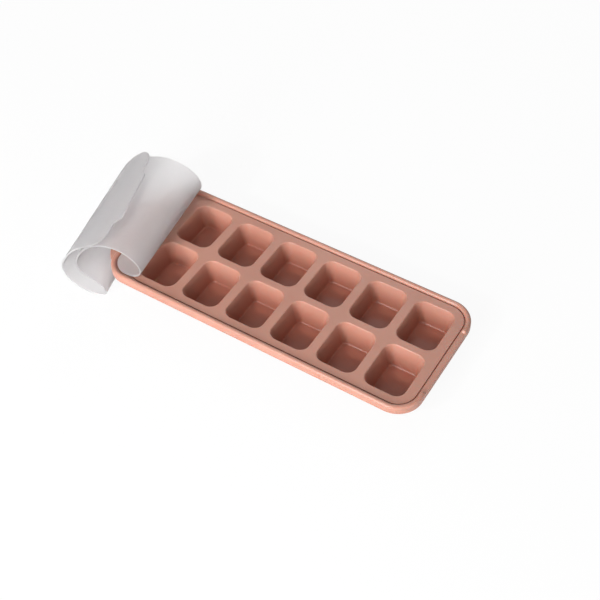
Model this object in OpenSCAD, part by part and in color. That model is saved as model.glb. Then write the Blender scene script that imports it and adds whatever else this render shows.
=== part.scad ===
/* [Cells] */
// Number of cells along the tray
columns = 6; // [2:1:10]
// Number of cells across the tray
rows = 2; // [1:1:4]
// Distance between cell centres along the tray
pitch_x = 39; // [37:0.5:60]
// Distance between cell centres across the tray
pitch_y = 46.4; // [45:0.2:70]
// Width of a cell's mouth, along the tray
cell_w = 31.7; // [26:0.1:33]
// Length of a cell's mouth, across the tray
cell_l = 40.2; // [30:0.1:41]
// Corner radius of a cell's mouth
cell_r = 7.7; // [7:0.1:12]
// Depth of a cell below the deck
cell_depth = 18; // [14:0.5:30]
// How far each wall of a cell leans in over its depth
cell_draft = 2.15; // [0.5:0.05:2.6]
// Radius where a cell's walls meet its floor
floor_fillet = 4.3; // [2:0.1:4.6]
// Radius of the rounded lip round a cell's mouth
lip_fillet = 1; // [0.4:0.1:1.6]
// Thickness of a cell's walls
wall_t = 1.8; // [1:0.1:2.2]
// Thickness of a cell's floor
floor_t = 2.2; // [1:0.1:4]

/* [Deck] */
// Deck between the outer cells' mouths and its ends
deck_end = 7.55; // [6:0.05:20]
// Deck between the outer cells' mouths and its sides
deck_side = 6.25; // [5:0.05:20]
// Corner radius of the deck
deck_r = 14.7; // [8:0.1:20]
// Height of the deck above the groove round it
step_h = 1; // [0.4:0.1:1.4]
// Thickness of the web under the groove
web_t = 1.6; // [1:0.1:3]
// Width of the groove between the deck and the rim
groove_w = 1; // [0.6:0.1:3]
// Width of the trough at the end where the lid is gripped
trough_w = 14.7; // [8:0.1:25]

/* [Rim] */
// Width of the rim
rim_w = 4; // [2.5:0.1:6]
// Height of the rim's rounded crest above the deck
crest_h = 1.9; // [1:0.1:5]
// How far the rim's outer wall hangs below the deck
skirt_h = 5.5; // [4:0.1:10]
// Radius of the rim's lower edges
skirt_fillet = 0.6; // [0.2:0.1:1]
// Length of the finger recess in the rim of the other end
recess_l = 62; // [30:1:68]

/* [Pull tab] */
// How far the tray's pull tab stands out from the rim
tab_reach = 10.5; // [6:0.5:20]
// Corner radius of the pull tab
tab_r = 32.4; // [20:0.1:36]
// Width of the pull tab's straight front
tab_front = 36; // [20:1:44]
// Thickness of the pull tab
tab_t = 1.6; // [1.2:0.1:3]

/* [Lid] */
// Thickness of the lid
lid_t = 1.3; // [0.8:0.1:1.5]
// Play between the lid's edge and the rim when it lies in place
lid_play = 1.05; // [0.5:0.05:3]
// How far the lid's own pull tab stands out
lid_tab_reach = 4.7; // [3:0.1:10]
// Width of the lid's own pull tab
lid_tab_w = 50; // [30:1:60]
// Corner radius of the lid's own pull tab
lid_tab_r = 3; // [1:0.1:3]
// Gap between the lid and the deck that it rests on
lid_gap = 0.15; // [0.1:0.05:0.5]

/* [Hidden] */
$fn = 96;
// Overlap of solids that are joined, and overshoot of cuts
eps = 0.5;

// Faces round the arcs in a cell's section
lip_steps = 3;
fillet_steps = 4;

// Heights above the surface that the tray stands on
deck_z = cell_depth + floor_t;
groove_z = deck_z - step_h;
crest_z = deck_z + crest_h;
skirt_z = deck_z - skirt_h;

// Half sizes of the deck
deck_x = (columns - 1) * pitch_x / 2 + cell_w / 2 + deck_end;
deck_y = (rows - 1) * pitch_y / 2 + cell_l / 2 + deck_side;

// How far a wall leans in over each millimetre of height, and the offset from
// a cell's mouth to the outside of its cup at the groove's height
lean_in = cell_draft / cell_depth;
cup_offset = wall_t - step_h * lean_in;

// Inner faces and inner corner radius of the rim
rim_right = deck_x + groove_w;
rim_left = -deck_x - trough_w;
rim_y = deck_y + groove_w;
rim_r = deck_r + groove_w;

// The lid's flat size, cut to lie inside the rim
lid_l = rim_right - rim_left - 2 * lid_play;
lid_w = 2 * (rim_y - lid_play);
lid_r = rim_r - lid_play;

// The lid's roll, from the end that lies in the tray to the free end:
// stretches along its centre line, each a length and the degrees it bends up
lid_bends = [
    [9, 0],
    [25, 92],
    [7, 26],
    [45, 94],
    [25, 37],
    [16, 87],
    [18, -32],
    [9, -121],
    [17, -38],
    [32, -84],
    [22, -14],
    [42, -39]
];
// Skew of the bend lines, in degrees, at places along the lid
lid_skews = [[0, 8.5], [47, 8.4], [94, 1.3], [140, 0], [187, 4.4], [261, -11]];
// Length over which one bend eases into the next
lid_ease = 8;
// Step along the roll, and steps across the lid
lid_step = 2;
lid_rows = 84;
lid_cols = 12;

// Points along an arc of radius r about (x, z)
function arc_points(x, z, r, from, to, steps) = [
    for (i = [0:steps])
        let (a = from + (to - from) * i / steps)
        [x + r * cos(a), z + r * sin(a)]
];

// Section of one half of a cell, from its centre line to its leaning wall,
// with tangent fillets at the floor and, where lip is not 0, at the mouth
module cell_section(reach, depth, draft, fillet, lip, top) {
    lean = sqrt(pow(depth, 2) + pow(draft, 2));
    angle = atan(draft / depth);
    floor_x = reach - (fillet * lean + (depth - fillet) * draft) / depth;
    lip_x = reach + lip * (lean - draft) / depth;
    mouth = lip > 0 ? arc_points(lip_x, -lip, lip, 90, 180 - angle, lip_steps) : [[reach, 0]];
    polygon(concat(
        top > 0 ? [[0, top], [lip_x, top]] : [[0, 0]],
        mouth,
        arc_points(floor_x, fillet - depth, fillet, -angle, -90, fillet_steps),
        [[0, -depth]]
    ));
}

// The space of a cell, or the outside of its cup: two crossed prisms and four
// turned corners that share one section
module cell_form(w, l, r, depth, draft, fillet, lip, top) {
    rotate([90, 0, 90])
        linear_extrude(w - 2 * r, center = true)
            for (side = [0, 1])
                mirror([side, 0])
                    cell_section(l / 2, depth, draft, fillet, lip, top);
    rotate([90, 0, 0])
        linear_extrude(l - 2 * r, center = true)
            for (side = [0, 1])
                mirror([side, 0])
                    cell_section(w / 2, depth, draft, fillet, lip, top);
    for (sx = [0, 1], sy = [0, 1])
        mirror([sx, 0, 0])
            mirror([0, sy, 0])
                translate([w / 2 - r, l / 2 - r, 0])
                    rotate_extrude(angle = 90)
                        cell_section(r, depth, draft, fillet, lip, top);
}

// Places its children at every cell, with their zero height on the deck
module each_cell() {
    for (i = [0:columns - 1], j = [0:rows - 1])
        translate([
            (i - (columns - 1) / 2) * pitch_x,
            (j - (rows - 1) / 2) * pitch_y,
            deck_z
        ])
            children();
}

// Rounded outline from x0 to x1, half_y to each side of the centre line
module rounded_outline(x0, x1, half_y, r) {
    translate([x0 + r, -half_y])
        square([x1 - x0 - 2 * r, 2 * half_y]);
    translate([x0, r - half_y])
        square([x1 - x0, 2 * (half_y - r)]);
    for (x = [x0 + r, x1 - r], y = [r - half_y, half_y - r])
        translate([x, y]) circle(r);
}

// Section of the rim, from its inner face outwards: half-round crest, upright
// walls and rounded lower edges
module rim_section() {
    crest_r = rim_w / 2;
    translate([0, skirt_z + skirt_fillet])
        square([rim_w, crest_z - crest_r - skirt_z - skirt_fillet]);
    translate([skirt_fillet, skirt_z])
        square([rim_w - 2 * skirt_fillet, skirt_h]);
    translate([crest_r, crest_z - crest_r])
        circle(crest_r);
    for (x = [skirt_fillet, rim_w - skirt_fillet])
        translate([x, skirt_z + skirt_fillet]) circle(skirt_fillet);
}

// The rim, its section carried along four sides and turned round four corners
module rim() {
    left = rim_left + rim_r;
    right = rim_right - rim_r;
    corner_y = rim_y - rim_r;
    translate([rim_right, 0, 0])
        rotate([90, 0, 0])
            linear_extrude(2 * corner_y, center = true) rim_section();
    translate([rim_left, 0, 0])
        rotate([90, 0, 180])
            linear_extrude(2 * corner_y, center = true) rim_section();
    for (side = [0, 1])
        mirror([0, side, 0]) {
            translate([left, rim_y, 0])
                rotate([90, 0, 90])
                    linear_extrude(right - left) rim_section();
            translate([right, corner_y, 0])
                rotate_extrude(angle = 90)
                    translate([rim_r, 0]) rim_section();
            translate([left, corner_y, 0])
                rotate([0, 0, 90])
                    rotate_extrude(angle = 90)
                        translate([rim_r, 0]) rim_section();
        }
}

// Tongue at the trough's end, flush with the deck, for pulling the tray out
module pull_tab() {
    tip_x = rim_left - rim_w - tab_reach;
    root_x = rim_left + eps;
    translate([0, 0, deck_z - tab_t])
        linear_extrude(tab_t)
            difference() {
                intersection() {
                    union() {
                        translate([tip_x, -tab_front / 2])
                            square([root_x - tip_x, tab_front]);
                        for (side = [-1, 1])
                            translate([tip_x + tab_r, side * tab_front / 2])
                                circle(tab_r);
                    }
                    translate([tip_x, -rim_y])
                        square([root_x - tip_x, 2 * rim_y]);
                }
                rounded_outline(
                    rim_left - rim_w / 2,
                    rim_right,
                    rim_y + rim_w / 2,
                    rim_r + rim_w / 2
                );
            }
}

module tray() {
    color([0.72, 0.48, 0.41])
        difference() {
            union() {
                translate([0, 0, groove_z - web_t])
                    linear_extrude(web_t)
                        rounded_outline(
                            rim_left - eps,
                            rim_right + eps,
                            rim_y + eps,
                            rim_r + eps
                        );
                translate([0, 0, groove_z - web_t])
                    linear_extrude(web_t + step_h)
                        rounded_outline(-deck_x, deck_x, deck_y, deck_r);
                each_cell()
                    translate([0, 0, -step_h])
                        cell_form(
                            cell_w + 2 * cup_offset,
                            cell_l + 2 * cup_offset,
                            cell_r + cup_offset,
                            groove_z,
                            groove_z * lean_in,
                            floor_fillet + wall_t,
                            0,
                            0
                        );
                rim();
                pull_tab();
            }
            each_cell()
                cell_form(
                    cell_w,
                    cell_l,
                    cell_r,
                    cell_depth,
                    cell_draft,
                    floor_fillet,
                    lip_fillet,
                    eps
                );
            translate([rim_right - eps, -recess_l / 2, deck_z])
                cube([rim_w + 2 * eps, recess_l, crest_h + eps]);
        }
}

// Sum of entry k of the first n items of a list
function sum_of(list, k, n) = n == 0 ? 0 : list[n - 1][k] + sum_of(list, k, n - 1);

// Total bend at the end of each stretch, as a table of place and degrees
bend_table = concat(
    [[-lid_l, 0]],
    [for (i = [0:len(lid_bends)]) [sum_of(lid_bends, 0, i), sum_of(lid_bends, 1, i)]],
    [[2 * lid_l, sum_of(lid_bends, 1, len(lid_bends))]]
);

// Bend between two places, averaged over the easing length
function bend_of(a, b) =
    (lookup(b + lid_ease / 2, bend_table) - lookup(b - lid_ease / 2, bend_table)
    + lookup(a + lid_ease / 2, bend_table) - lookup(a - lid_ease / 2, bend_table))
    / 2 * (b - a) / lid_ease;

function skew_at(c) = lookup(c, lid_skews);

// Vector v turned by an angle about the unit axis u
function turned(v, u, angle) =
    v * cos(angle) + cross(u, v) * sin(angle) + u * (u * v) * (1 - cos(angle));

// Frame of the roll one step further: place, direction along the lid and
// direction towards its near edge, turned about the skewed bend line
function rolled(f, c) =
    let (skew = tan(skew_at(c + lid_step / 2)))
    let (m = sqrt(1 + pow(skew, 2)))
    let (u = (f[2] + skew * f[1]) / m)
    let (angle = bend_of(c, c + lid_step) * m)
    [
        f[0] + turned(f[1], u, angle / 2) * lid_step,
        turned(f[1], u, angle),
        turned(f[2], u, angle)
    ];

// Frames along the roll, one per step from the end that lies in the tray
roll_steps = ceil((lid_l + lid_tab_reach + lid_w / 4) / lid_step);
roll_start = [
    [rim_left + lid_play, 0, deck_z + lid_gap + lid_t / 2],
    [1, 0, 0],
    [0, -1, 0]
];
roll_frames = [
    for (i = 0, f = roll_start; i <= roll_steps; f = rolled(f, i * lid_step), i = i + 1) f
];

// Frame at any place along the roll, between two steps
function frame_at(c) =
    let (k = max(0, min(roll_steps - 1, floor(c / lid_step))))
    let (part = c / lid_step - k)
    roll_frames[k] * (1 - part) + roll_frames[k + 1] * part;

// Place where the bend line through a flat point crosses the centre line
function bend_line(s, y) =
    let (a = s - y * tan(skew_at(s)))
    let (b = s - y * tan(skew_at(a)))
    s - y * tan(skew_at(b));

// The rolled place of a flat point, h above the lid's middle surface
function lid_point(s, y, h) =
    let (c = bend_line(s, y))
    let (f = frame_at(c))
    let (normal = cross(f[2], f[1]))
    f[0] + y * (f[2] + tan(skew_at(c)) * f[1]) + h * normal / norm(normal);

// Half the lid's width at a distance along it, with its rounded corners
function corner_half(d) = lid_w / 2 - lid_r + sqrt(max(0, pow(lid_r, 2) - pow(lid_r - min(d, lid_r), 2)));
function tab_half(d) = lid_tab_w / 2 - lid_tab_r + sqrt(max(0, pow(lid_tab_r, 2) - pow(lid_tab_r - min(d, lid_tab_r), 2)));

// Rows of the lid, each a distance along it and half a width: a rounded end,
// the body, the other rounded end and the pull tab
corner_steps = 5;
tab_steps = 4;
body_steps = lid_rows - 2 * corner_steps - tab_steps;
lid_outline = concat(
    [for (i = [0:corner_steps - 1]) let (d = lid_r * (1 - cos(90 * i / corner_steps))) [d, corner_half(d)]],
    [for (i = [0:body_steps]) [lid_r + (lid_l - 2 * lid_r) * i / body_steps, lid_w / 2]],
    [for (i = [corner_steps - 1:-1:0]) let (d = lid_r * (1 - cos(90 * i / corner_steps))) [lid_l - d, corner_half(d)]],
    [for (i = [tab_steps:-1:0]) let (d = lid_tab_reach * (1 - cos(90 * i / tab_steps))) [lid_l + lid_tab_reach - d * 0.98, tab_half(d)]]
);

module lid() {
    n = len(lid_outline);
    m = lid_cols + 1;
    points = [
        for (side = [-1, 1], row = lid_outline, j = [0:lid_cols])
            lid_point(row[0], row[1] * (2 * j / lid_cols - 1), side * lid_t / 2)
    ];
    top = n * m;
    flat_faces = [
        for (i = [0:n - 2], j = [0:lid_cols - 1])
            let (a = i * m + j)
            each [
                [a, a + 1, a + m],
                [a + 1, a + m + 1, a + m],
                [top + a, top + a + m, top + a + 1],
                [top + a + 1, top + a + m, top + a + m + 1]
            ]
    ];
    side_faces = [
        for (i = [0:n - 2])
            let (a = i * m, b = i * m + lid_cols)
            each [
                [a, a + m, top + a],
                [a + m, top + a + m, top + a],
                [b, top + b, b + m],
                [b + m, top + b, top + b + m]
            ]
    ];
    end_faces = [
        for (j = [0:lid_cols - 1])
            let (a = j, b = (n - 1) * m + j)
            each [
                [a, top + a, a + 1],
                [a + 1, top + a, top + a + 1],
                [b, b + 1, top + b],
                [b + 1, top + b + 1, top + b]
            ]
    ];
    color([0.84, 0.84, 0.85, 0.7])
        polyhedron(points, concat(flat_faces, side_faces, end_faces));
}

tray();
lid();
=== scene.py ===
"""A flexible ice cube tray with its translucent lid peeled back and rolled up at one end."""
import math

import bmesh
import bpy
import numpy as np
from mathutils import Matrix, Vector


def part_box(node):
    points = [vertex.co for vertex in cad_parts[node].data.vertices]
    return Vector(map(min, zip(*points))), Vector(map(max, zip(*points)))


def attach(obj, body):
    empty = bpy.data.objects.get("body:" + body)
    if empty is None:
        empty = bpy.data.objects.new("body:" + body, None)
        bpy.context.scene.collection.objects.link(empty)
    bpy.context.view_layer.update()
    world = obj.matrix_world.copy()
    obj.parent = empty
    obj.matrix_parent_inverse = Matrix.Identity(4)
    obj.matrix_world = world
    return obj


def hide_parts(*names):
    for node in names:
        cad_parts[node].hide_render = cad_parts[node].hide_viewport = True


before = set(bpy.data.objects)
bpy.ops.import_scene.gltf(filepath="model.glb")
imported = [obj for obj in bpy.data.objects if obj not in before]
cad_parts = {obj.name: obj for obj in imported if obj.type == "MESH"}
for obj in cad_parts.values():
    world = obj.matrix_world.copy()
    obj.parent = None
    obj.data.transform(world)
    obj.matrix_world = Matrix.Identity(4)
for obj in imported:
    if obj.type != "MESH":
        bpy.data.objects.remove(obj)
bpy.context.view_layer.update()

MM = 0.001

# Sizes of the moulding, in millimetres
COLUMNS, ROWS = 6, 2
PITCH_X, PITCH_Y = 39.0, 46.4
CELL_W, CELL_L, CELL_R = 31.7, 40.2, 7.7
CELL_DEPTH, CELL_DRAFT = 19.2, 4.2
FLOOR_FILLET, LIP_FILLET = 1.5, 1.0
WALL_T = 1.8
DECK_R, STEP_H, WEB_T = 14.7, 1.4, 1.2
GROOVE_W = 1.0
DECK_EDGE_R = 0.3
RIM_W, CREST_H, SKIRT_H = 4.0, 1.9, 5.5
SKIRT_FILLET = 0.6
RECESS_L, RECESS_SLOPE = 62.0, 2.0
TAB_REACH, TAB_R, TAB_FRONT, TAB_T = 10.5, 32.4, 36.0, 1.6
TAB_EDGE_R = 0.5

# Sizes of the flat lid, in millimetres
LID_T, LID_PLAY, LID_GAP = 1.3, 1.05, 0.15
LID_TAB_REACH, LID_TAB_W, LID_TAB_BLEND = 4.7, 48.0, 7.0
LID_EDGE_R = 0.45

# The lid's roll: stretches of its centre line with their length and bend in
# degrees, the skew of its bend lines at places along it, and the length over
# which one bend eases into the next
LID_BENDS = [
    (9, 0), (25, 92), (7, 26), (45, 94), (25, 37), (16, 87),
    (18, -32), (9, -121), (17, -38), (32, -84), (22, -14), (42, -39),
]
LID_SKEWS = [(0, 8.5), (47, 8.4), (94, 1.3), (140, 0), (187, 4.4), (261, -11)]
EASE_L = 8.0

# Fineness of the meshes
RIM_CORNER_STEPS, CELL_CORNER_STEPS = 14, 10
RECESS_STEPS, RECESS_MIDDLE = 6, [-20, 0, 20]
LID_ROWS, LID_MIDDLE_COLS, LID_CORNER_COLS = 201, 31, 11
ROLL_STEP = 0.5

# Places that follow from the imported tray, in millimetres
TRAY_LOW, TRAY_HIGH = (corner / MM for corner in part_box("tray"))
CREST_Z = TRAY_HIGH.z
DECK_Z = CREST_Z - CREST_H
GROOVE_Z = DECK_Z - STEP_H
WEB_Z = GROOVE_Z - WEB_T
SKIRT_Z = DECK_Z - SKIRT_H
RIM_RIGHT = TRAY_HIGH.x - RIM_W
RIM_LEFT = TRAY_LOW.x + TAB_REACH + RIM_W
RIM_Y = TRAY_HIGH.y - RIM_W
RIM_R = DECK_R + GROOVE_W
DECK_X = RIM_RIGHT - GROOVE_W
DECK_Y = RIM_Y - GROOVE_W
LEAN = CELL_DRAFT / CELL_DEPTH
RECESS_HALF = (RECESS_L - RECESS_SLOPE) / 2
LID_L = RIM_RIGHT - RIM_LEFT - 2 * LID_PLAY
LID_HALF = RIM_Y - LID_PLAY
LID_R = RIM_R - LID_PLAY
LID_WHOLE = LID_L + LID_TAB_REACH

# Colours: each material's darker and lighter tone, and the painted shade, darker and redder, that the tray's
# tones are multiplied by lowest down
TRAY_TONES = (0.455, 0.222, 0.166), (0.495, 0.247, 0.185)
LID_TONES = (0.86, 0.845, 0.85), (0.9, 0.885, 0.89)
LOW_PAINTED_SHADE = (0.87, 0.65, 0.59)
WHITE = (1, 1, 1, 1)

# The photograph's camera, in metres
CAMERA_PLACE = Vector((0.29575, -0.44274, 0.61376 + DECK_Z * MM))
CAMERA_AIM = Vector((0.00707, -0.00303, DECK_Z * MM))
CAMERA_ROLL = math.radians(-1.727)
CAMERA_LENS = 65.75

# Light: the lamps' distance, and each one's turn from the front and rise in
# degrees, size in metres and power in watts
LAMP_REACH = 1.3
LAMPS = {
    "low_front": (0, 15, 0.5, 13.5),
    "high_front": (0, 40, 0.5, 4.8),
    "key": (-15, 33, 0.12, 6.5),
    "low_right": (70, 6, 0.25, 3),
    "behind": (-160, 36, 0.5, 2.8),
}

# The room's even light, the share of the floor that glows plain white, and
# half the floor's width in metres
ROOM_LIGHT = 0.34
FLOOR_GLOW = 0.93
FLOOR_HALF = 4.0


def arc(x, z, r, start, end, steps):
    """Points along an arc of radius r about (x, z), angles in degrees."""
    angles = np.radians(np.linspace(start, end, steps + 1))
    return [(x + r * math.cos(a), z + r * math.sin(a)) for a in angles]


def rounded_loop(x0, x1, y0, y1, r, steps, right_stops=()):
    """Points round a rounded rectangle, anticlockwise from the foot of its right side."""
    points = [(x1, y) for y in right_stops]
    corners = [(x1 - r, y1 - r, 0), (x0 + r, y1 - r, 90), (x0 + r, y0 + r, 180), (x1 - r, y0 + r, 270)]
    for cx, cy, start in corners:
        points += arc(cx, cy, r, start, start + 90, steps)
    return points


class Skin:
    """A mesh in the making: rings of points in millimetres, joined by strips and faces."""

    def __init__(self, name):
        self.name = name
        self.bm = bmesh.new()

    def points(self, places):
        return [self.bm.verts.new(Vector(p) * MM) for p in places]

    def ring(self, points, z):
        """A ring of points at one height, or each at its own."""
        heights = z if hasattr(z, "__len__") else [z] * len(points)
        return self.points([(x, y, h) for (x, y), h in zip(points, heights)])

    def strips(self, rings):
        for a, b in zip(rings, rings[1:]):
            for i, v in enumerate(a):
                j = (i + 1) % len(a)
                self.bm.faces.new((v, a[j], b[j], b[i]))

    def face(self, ring):
        self.bm.faces.new(ring)

    def fill(self, rings):
        """Fills the flat area between an outer ring and the rings of its holes."""
        edges = []
        for ring in rings:
            for i, v in enumerate(ring):
                w = ring[(i + 1) % len(ring)]
                edges.append(self.bm.edges.get((v, w)) or self.bm.edges.new((v, w)))
        bmesh.ops.triangle_fill(self.bm, use_beauty=True, use_dissolve=False, edges=edges)

    def done(self):
        """The finished object, shaded smooth."""
        bmesh.ops.recalc_face_normals(self.bm, faces=self.bm.faces)
        mesh = bpy.data.meshes.new(self.name)
        self.bm.to_mesh(mesh)
        self.bm.free()
        for polygon in mesh.polygons:
            polygon.use_smooth = True
        piece = bpy.data.objects.new(self.name, mesh)
        bpy.context.scene.collection.objects.link(piece)
        return piece


def recess_share(y):
    """How much of the rim's crest stands at a place along the recessed end, from 0 to 1."""
    t = min(1, max(0, (abs(y) - RECESS_HALF) / RECESS_SLOPE))
    return t * t * (3 - 2 * t)


def tray_loop(outset, left=RIM_LEFT, right=RIM_RIGHT, half=RIM_Y, r=RIM_R):
    """A rounded outline of the tray, with extra points about the recess's ends."""
    ends = [RECESS_HALF + RECESS_SLOPE * k / RECESS_STEPS for k in range(RECESS_STEPS + 1)]
    stops = [-y for y in reversed(ends)] + RECESS_MIDDLE + ends
    return rounded_loop(left - outset, right + outset, -half - outset, half + outset, r + outset,
                        RIM_CORNER_STEPS, stops)


def deck_rings(skin):
    """Rings round the deck's rounded edge, down to the groove's floor."""
    soft = DECK_EDGE_R
    profile = arc(-soft, DECK_Z - soft, soft, 90, 0, 3)
    profile += arc(soft, GROOVE_Z + soft, soft, 180, 270, 3)
    return [skin.ring(tray_loop(x, -DECK_X, DECK_X, DECK_Y, DECK_R), z) for x, z in profile]


def rim_profile():
    """The rim's section, from the groove's floor over the crest and round its lower edge."""
    soft, crest, hem = DECK_EDGE_R, RIM_W / 2, SKIRT_FILLET
    points = arc(-soft, GROOVE_Z + soft, soft, 270, 360, 3)
    points += arc(crest, CREST_Z - crest, crest, 180, 0, 16)
    points += arc(RIM_W - hem, SKIRT_Z + hem, hem, 0, -90, 4)
    points += arc(hem, SKIRT_Z + hem, hem, 270, 180, 4)
    return points + [(0, WEB_Z)]


def rim_rings(skin):
    """Rings round the rim, lowered to the deck along the finger recess."""
    rings = []
    for outset, z in rim_profile():
        points = tray_loop(outset)
        over = max(0, z - DECK_Z)
        heights = []
        for x, y in points:
            recessed = x > DECK_X and abs(y) < RECESS_HALF + RECESS_SLOPE
            heights.append(z - over + over * (recess_share(y) if recessed else 1))
        rings.append(skin.ring(points, heights))
    return rings


def wall_profile(depth, fillet, lip):
    """A cell's wall in section, from mouth to floor: inset from the mouth, and height."""
    angle = math.degrees(math.atan(LEAN))
    slant = math.sqrt(1 + LEAN ** 2)
    points = arc(lip * (slant - LEAN), -lip, lip, 90, 180 - angle, 6) if lip else [(0, 0)]
    floor_x = -(fillet * slant + (depth - fillet) * LEAN)
    points += arc(floor_x, fillet - depth, fillet, -angle, -90, 8)
    return [(-x, z) for x, z in points]


def well(skin, centre, outset, profile, top):
    """One tapered well, lofted from its mouth to its floor. Returns the ring at its mouth."""
    cx, cy = centre
    rings = []
    for inset, z in profile:
        w, l = CELL_W / 2 + outset - inset, CELL_L / 2 + outset - inset
        loop = rounded_loop(cx - w, cx + w, cy - l, cy + l, CELL_R + outset - inset, CELL_CORNER_STEPS)
        rings.append(skin.ring(loop, top + z))
    skin.strips(rings)
    skin.face(rings[-1])
    return rings[0]


def cells(skin):
    """Cells from above and cups from below. Returns their rings in the deck and the web."""
    inner = wall_profile(CELL_DEPTH, FLOOR_FILLET, LIP_FILLET)
    outer = wall_profile(WEB_Z, FLOOR_FILLET + WALL_T, 0)
    outset = WALL_T - (DECK_Z - WEB_Z) * LEAN
    mouths, roots = [], []
    for i in range(COLUMNS):
        for j in range(ROWS):
            centre = (i - (COLUMNS - 1) / 2) * PITCH_X, (j - (ROWS - 1) / 2) * PITCH_Y
            mouths.append(well(skin, centre, 0, inner, DECK_Z))
            roots.append(well(skin, centre, outset, outer, WEB_Z))
    return mouths, roots


def tray_skin():
    """The tray without its tab, as one closed skin with its lips, steps and edges rounded."""
    skin = Skin("tray_moulding")
    rings = deck_rings(skin) + rim_rings(skin)
    skin.strips(rings)
    mouths, roots = cells(skin)
    skin.fill([rings[0]] + mouths)
    skin.fill([rings[-1]] + roots)
    return skin


def tab_outline():
    """The pull tab's plan, from its far root round its tip to its near root."""
    tip = RIM_LEFT - RIM_W - TAB_REACH
    root = RIM_LEFT - RIM_W / 2
    reach = math.degrees(math.acos((tip + TAB_R - root) / TAB_R))
    points = arc(tip + TAB_R, TAB_FRONT / 2, TAB_R, 180 - reach, 180, 18)
    return points + arc(tip + TAB_R, -TAB_FRONT / 2, TAB_R, 180, 180 + reach, 18)


def add_tab(skin):
    """The pull tab, a closed tongue with rounded edges whose root lies inside the rim."""
    outline = [Vector(p) for p in tab_outline()]
    outward = []
    for i in range(len(outline)):
        run = outline[min(len(outline) - 1, i + 1)] - outline[max(0, i - 1)]
        outward.append(Vector((run.y, -run.x)).normalized())
    soft = TAB_EDGE_R
    profile = arc(-soft, DECK_Z - soft, soft, 90, 0, 4)
    profile += arc(-soft, DECK_Z - TAB_T + soft, soft, 0, -90, 4)
    rings = [skin.ring([p + q * x for p, q in zip(outline, outward)], z) for x, z in profile]
    skin.strips(rings)
    skin.face(rings[0])
    skin.face(rings[-1])


# The lid: a flat sheet carried round the roll by exact bending
def bend_table():
    """Places along the roll, and the total bend in degrees at each."""
    places, bends = [-LID_L, 0.0], [0.0, 0.0]
    for length, bend in LID_BENDS:
        places.append(places[-1] + length)
        bends.append(bends[-1] + bend)
    return places + [2 * LID_L], bends + [bends[-1]]


def skew_at(c):
    """The slope of the bend line that crosses the centre line at c."""
    places, skews = zip(*LID_SKEWS)
    return np.tan(np.radians(np.interp(c, places, skews)))


def turned(v, axis, angle):
    """A vector turned about a unit axis."""
    across = np.cross(axis, v)
    return v * math.cos(angle) + across * math.sin(angle) + axis * (axis @ v) * (1 - math.cos(angle))


def roll_frames(step):
    """Place, direction along the lid, and direction to its near edge, step by step."""
    places, bends = bend_table()
    at = np.array([RIM_LEFT + LID_PLAY, 0, DECK_Z + LID_GAP + LID_T / 2])
    along, near = np.array([1.0, 0, 0]), np.array([0, -1.0, 0])
    frames = [(at, along, near)]
    for i in range(math.ceil((LID_WHOLE + LID_HALF / 2) / step)):
        c = (i + 0.5) * step
        bend = (np.interp(c + EASE_L / 2, places, bends) - np.interp(c - EASE_L / 2, places, bends)) / EASE_L
        skew = skew_at(c)
        m = math.sqrt(1 + skew * skew)
        axis = (near + skew * along) / m
        angle = math.radians(bend * step * m)
        at = at + turned(along, axis, angle / 2) * step
        along, near = turned(along, axis, angle), turned(near, axis, angle)
        frames.append((at, along, near))
    return [np.array(v) for v in zip(*frames)]


ROLL = roll_frames(ROLL_STEP)


def lid_places(s, y, h):
    """The rolled places of flat points of the lid, h above its middle surface."""
    # c is where the bend line through a point crosses the centre line
    c = s
    for _ in range(5):
        c = s - y * skew_at(c)
    k = np.clip(c // ROLL_STEP, 0, len(ROLL[0]) - 2).astype(int)
    part = (c / ROLL_STEP - k)[:, None]
    at, along, near = (v[k] * (1 - part) + v[k + 1] * part for v in ROLL)
    normal = np.cross(near, along)
    normal /= np.linalg.norm(normal, axis=1)[:, None]
    return at + y[:, None] * (near + skew_at(c)[:, None] * along) + h * normal


def lid_grid(inset):
    """Flat points of the lid drawn in by an inset: rows along it of points across it."""
    half, r = LID_HALF - inset, LID_R - inset
    angles = np.radians(np.linspace(0, 90, LID_CORNER_COLS))
    middle = np.linspace(0, half - r, LID_MIDDLE_COLS)[:-1]
    across = np.concatenate([middle, half - r + r * np.sin(angles)])
    drawn_in = inset + np.concatenate([middle * 0, r * (1 - np.cos(angles))])
    tab = np.clip(0.5 - (across - LID_TAB_W / 2) / LID_TAB_BLEND, 0, 1)
    end = LID_L - drawn_in + LID_TAB_REACH * (1 - np.cos(math.pi * tab)) / 2
    across, start, end = (np.concatenate([flip * v[:0:-1], v])
                          for v, flip in ((across, -1), (drawn_in, 1), (end, 1)))
    share = np.linspace(0, 1, LID_ROWS)[:, None]
    s = start + (end - start) * share
    return s, across + 0 * s


def border(grid):
    """A grid's border, once round."""
    return np.concatenate([grid[0], grid[1:, -1], grid[-1, -2::-1], grid[-2:0:-1, 0]])


def lid_face(skin, h):
    """One face of the rolled lid, h above its middle surface. Returns the ring round it."""
    s, y = lid_grid(LID_EDGE_R)
    grid = np.array(skin.points(lid_places(s.ravel(), y.ravel(), h)), dtype=object).reshape(s.shape)
    for a, b in zip(grid, grid[1:]):
        for j in range(len(a) - 1):
            skin.face((a[j], a[j + 1], b[j + 1], b[j]))
    return border(grid)


def lid_skin():
    """The lid as a sheet of even thickness with rounded edges."""
    skin = Skin("lid_sheet")
    half, soft = LID_T / 2, LID_EDGE_R
    upper, lower = lid_face(skin, half), lid_face(skin, -half)
    edge = arc(-soft, half - soft, soft, 60, 0, 2) + arc(-soft, soft - half, soft, 0, -60, 2)
    between = []
    for x, h in edge:
        s, y = (border(v) for v in lid_grid(-x))
        between.append(skin.points(lid_places(s, y, h)))
    skin.strips([upper] + between + [lower])
    return skin


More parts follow.
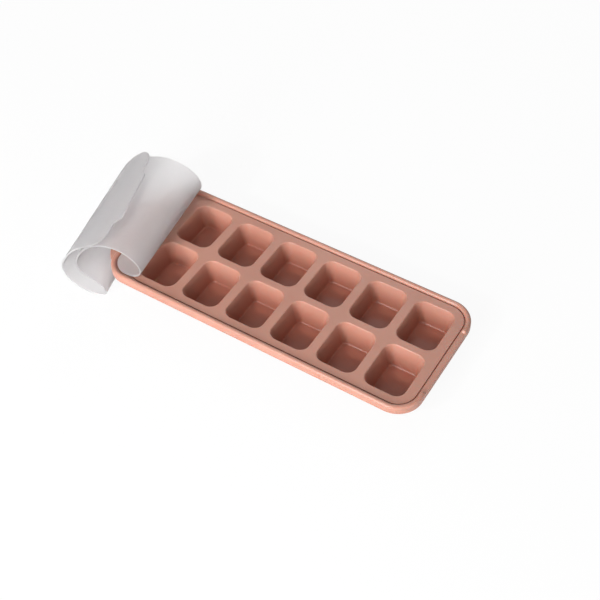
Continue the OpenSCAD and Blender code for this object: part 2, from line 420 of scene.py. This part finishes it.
def material(name):
    made = bpy.data.materials.new(name)
    made.use_nodes = True
    tree = made.node_tree
    return made, tree, tree.nodes["Principled BSDF"]


def settings(made, **inputs):
    """Sets values on a node's sockets."""
    for key, value in inputs.items():
        made.inputs[key.replace("_", " ")].default_value = value


def node(tree, kind, **inputs):
    """A new node with values set on its sockets."""
    made = tree.nodes.new(kind)
    settings(made, **inputs)
    return made


def ramp(tree, share, tones, start=0.0, end=1.0):
    """A colour between two tones, by a share from start to end."""
    made = tree.nodes.new("ShaderNodeValToRGB")
    for element, place, colour in zip(made.color_ramp.elements, (start, end), tones):
        element.position = place
        element.color = (*colour, 1)
    tree.links.new(share, made.inputs["Fac"])
    return made.outputs["Color"]


def mottling(tree, place, tones, scale, detail, start=0.0, end=1.0):
    """A soft mottling between two tones."""
    cloud = node(tree, "ShaderNodeTexNoise", Scale=scale, Detail=detail, Roughness=0.5)
    tree.links.new(place, cloud.inputs["Vector"])
    return ramp(tree, cloud.outputs["Fac"], tones, start, end)


def by_height(tree, place, low, high):
    """A value that runs from low on the table to high at the deck."""
    height = tree.nodes.new("ShaderNodeSeparateXYZ")
    tree.links.new(place, height.inputs["Vector"])
    run = node(tree, "ShaderNodeMapRange", From_Max=DECK_Z * MM, To_Min=low, To_Max=high)
    tree.links.new(height.outputs["Z"], run.inputs["Value"])
    return run.outputs["Result"]


def product(tree, a, b):
    """Two colours multiplied."""
    made = tree.nodes.new("ShaderNodeMix")
    made.data_type = "RGBA"
    made.blend_type = "MULTIPLY"
    made.inputs["Factor"].default_value = 1
    tree.links.new(a, made.inputs["A"])
    tree.links.new(b, made.inputs["B"])
    return made.outputs["Result"]


def grain(tree, place, surface, scale, strength):
    """Fine bumps of the mould's surface."""
    noise = node(tree, "ShaderNodeTexNoise", Scale=scale, Detail=2, Roughness=0.6)
    bump = node(tree, "ShaderNodeBump", Strength=strength, Distance=0.0002)
    tree.links.new(place, noise.inputs["Vector"])
    tree.links.new(noise.outputs["Fac"], bump.inputs["Height"])
    tree.links.new(bump.outputs["Normal"], surface.inputs["Normal"])


def tray_material():
    """Satin terracotta silicone, finely grained and mottled, glossier lower down, with painted shade that
    makes it darker and redder lower down.
    """
    made, tree, surface = material("terracotta_silicone")
    place = tree.nodes.new("ShaderNodeTexCoord").outputs["Object"]
    mottled = mottling(tree, place, TRAY_TONES, scale=35, detail=3, start=0.3, end=0.7)
    # Painted shade: the colour is multiplied darker and redder towards the table, most on the cells' floors
    depth = ramp(tree, by_height(tree, place, low=0, high=1), (LOW_PAINTED_SHADE, WHITE[:3]))
    tree.links.new(product(tree, mottled, depth), surface.inputs["Base Color"])
    tree.links.new(by_height(tree, place, low=0.3, high=0.38), surface.inputs["Roughness"])
    grain(tree, place, surface, scale=1400, strength=0.12)
    settings(surface, Specular_IOR_Level=0.4, Subsurface_Weight=0.3,
             Subsurface_Radius=(0.004, 0.0009, 0.0005))
    return made


def lid_material():
    """Milky silicone that lets blurred colours through where something lies close behind."""
    made, tree, surface = material("milky_silicone")
    place = tree.nodes.new("ShaderNodeTexCoord").outputs["Object"]
    mottled = mottling(tree, place, LID_TONES, scale=22, detail=2)
    tree.links.new(mottled, surface.inputs["Base Color"])
    grain(tree, place, surface, scale=900, strength=0.1)
    settings(surface, Roughness=0.55, IOR=1.41, Transmission_Weight=0.8, Subsurface_Weight=1,
             Subsurface_Radius=(0.008, 0.008, 0.008))
    return made


def dress(piece, slot, made, *nodes):
    """Gives a piece its material and even shading, hides the imported parts it stands in for, and hangs it
    under the root body.
    """
    piece.data.materials.append(made)
    smooth = piece.modifiers.new("even_normals", "WEIGHTED_NORMAL")
    smooth.keep_sharp = True
    smooth.weight = 90
    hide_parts(*nodes)
    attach(piece, "root")


def seen_plain(tree):
    """1 for what the camera sees, straight or through the lid, and 0 for other light."""
    ray = tree.nodes.new("ShaderNodeLightPath")
    either = tree.nodes.new("ShaderNodeMath")
    either.operation = "MAXIMUM"
    tree.links.new(ray.outputs["Is Camera Ray"], either.inputs[0])
    tree.links.new(ray.outputs["Is Transmission Ray"], either.inputs[1])
    return either.outputs[0]


def mixed(tree, share, a, b, output):
    """Puts a mix of two shaders on the tree's output."""
    mix = tree.nodes.new("ShaderNodeMixShader")
    tree.links.new(share, mix.inputs["Fac"])
    tree.links.new(a, mix.inputs[1])
    tree.links.new(b, mix.inputs[2])
    tree.links.new(mix.outputs["Shader"], tree.nodes[output].inputs["Surface"])


def floor_material():
    """White that glows plain to the camera, with a share of its own shading for the shadow."""
    made, tree, surface = material("floor_white")
    settings(surface, Base_Color=(0.85, 0.85, 0.85, 1), Roughness=0.9, Specular_IOR_Level=0)
    glow = node(tree, "ShaderNodeEmission", Color=WHITE, Strength=1)
    share = tree.nodes.new("ShaderNodeMath")
    share.operation = "MULTIPLY"
    share.inputs[1].default_value = FLOOR_GLOW
    tree.links.new(seen_plain(tree), share.inputs[0])
    mixed(tree, share.outputs[0], surface.outputs["BSDF"], glow.outputs["Emission"], "Material Output")
    return made


def floor():
    mesh = bpy.data.meshes.new("floor")
    corners = [(x * FLOOR_HALF, y * FLOOR_HALF, 0) for x, y in ((-1, -1), (1, -1), (1, 1), (-1, 1))]
    mesh.from_pydata(corners, [], [(0, 1, 2, 3)])
    made = bpy.data.objects.new("floor", mesh)
    bpy.context.scene.collection.objects.link(made)
    mesh.materials.append(floor_material())


def surroundings():
    """Even white light from all round, seen as plain white behind the tray."""
    world = bpy.data.worlds.new("studio")
    bpy.context.scene.world = world
    world.use_nodes = True
    tree = world.node_tree
    light = tree.nodes["Background"]
    settings(light, Color=WHITE, Strength=ROOM_LIGHT)
    white = node(tree, "ShaderNodeBackground", Color=WHITE, Strength=1)
    mixed(tree, seen_plain(tree), light.outputs["Background"], white.outputs["Background"], "World Output")


def lamp(name, turn, rise, size, power):
    """A round lamp aimed at the tray."""
    data = bpy.data.lights.new(name, "AREA")
    data.shape = "DISK"
    data.size = size
    data.energy = power
    made = bpy.data.objects.new(name, data)
    bpy.context.scene.collection.objects.link(made)
    turn, rise = math.radians(turn), math.radians(rise)
    towards = Vector((math.cos(rise) * math.sin(turn), -math.cos(rise) * math.cos(turn), math.sin(rise)))
    made.location = LAMP_REACH * towards
    made.rotation_euler = (-towards).to_track_quat("-Z", "Y").to_euler()


def camera():
    data = bpy.data.cameras.new("photo_view")
    data.lens = CAMERA_LENS
    data.sensor_width = 36
    data.clip_start = 0.01
    made = bpy.data.objects.new("photo_view", data)
    bpy.context.scene.collection.objects.link(made)
    forward = (CAMERA_AIM - CAMERA_PLACE).normalized()
    level = forward.cross(Vector((0, 0, 1))).normalized()
    upright = level.cross(forward)
    right = level * math.cos(CAMERA_ROLL) + upright * math.sin(CAMERA_ROLL)
    up = upright * math.cos(CAMERA_ROLL) - level * math.sin(CAMERA_ROLL)
    turn = Matrix((right, up, -forward)).transposed().to_4x4()
    made.matrix_world = Matrix.Translation(CAMERA_PLACE) @ turn
    bpy.context.scene.camera = made


camera()
surroundings()
floor()
for name, values in LAMPS.items():
    lamp(name, *values)
bpy.context.scene.view_settings.view_transform = "Standard"

tray = tray_skin()
add_tab(tray)
dress(tray.done(), "tray_silicone", tray_material(), "tray")
dress(lid_skin().done(), "lid_silicone", lid_material(), "lid")
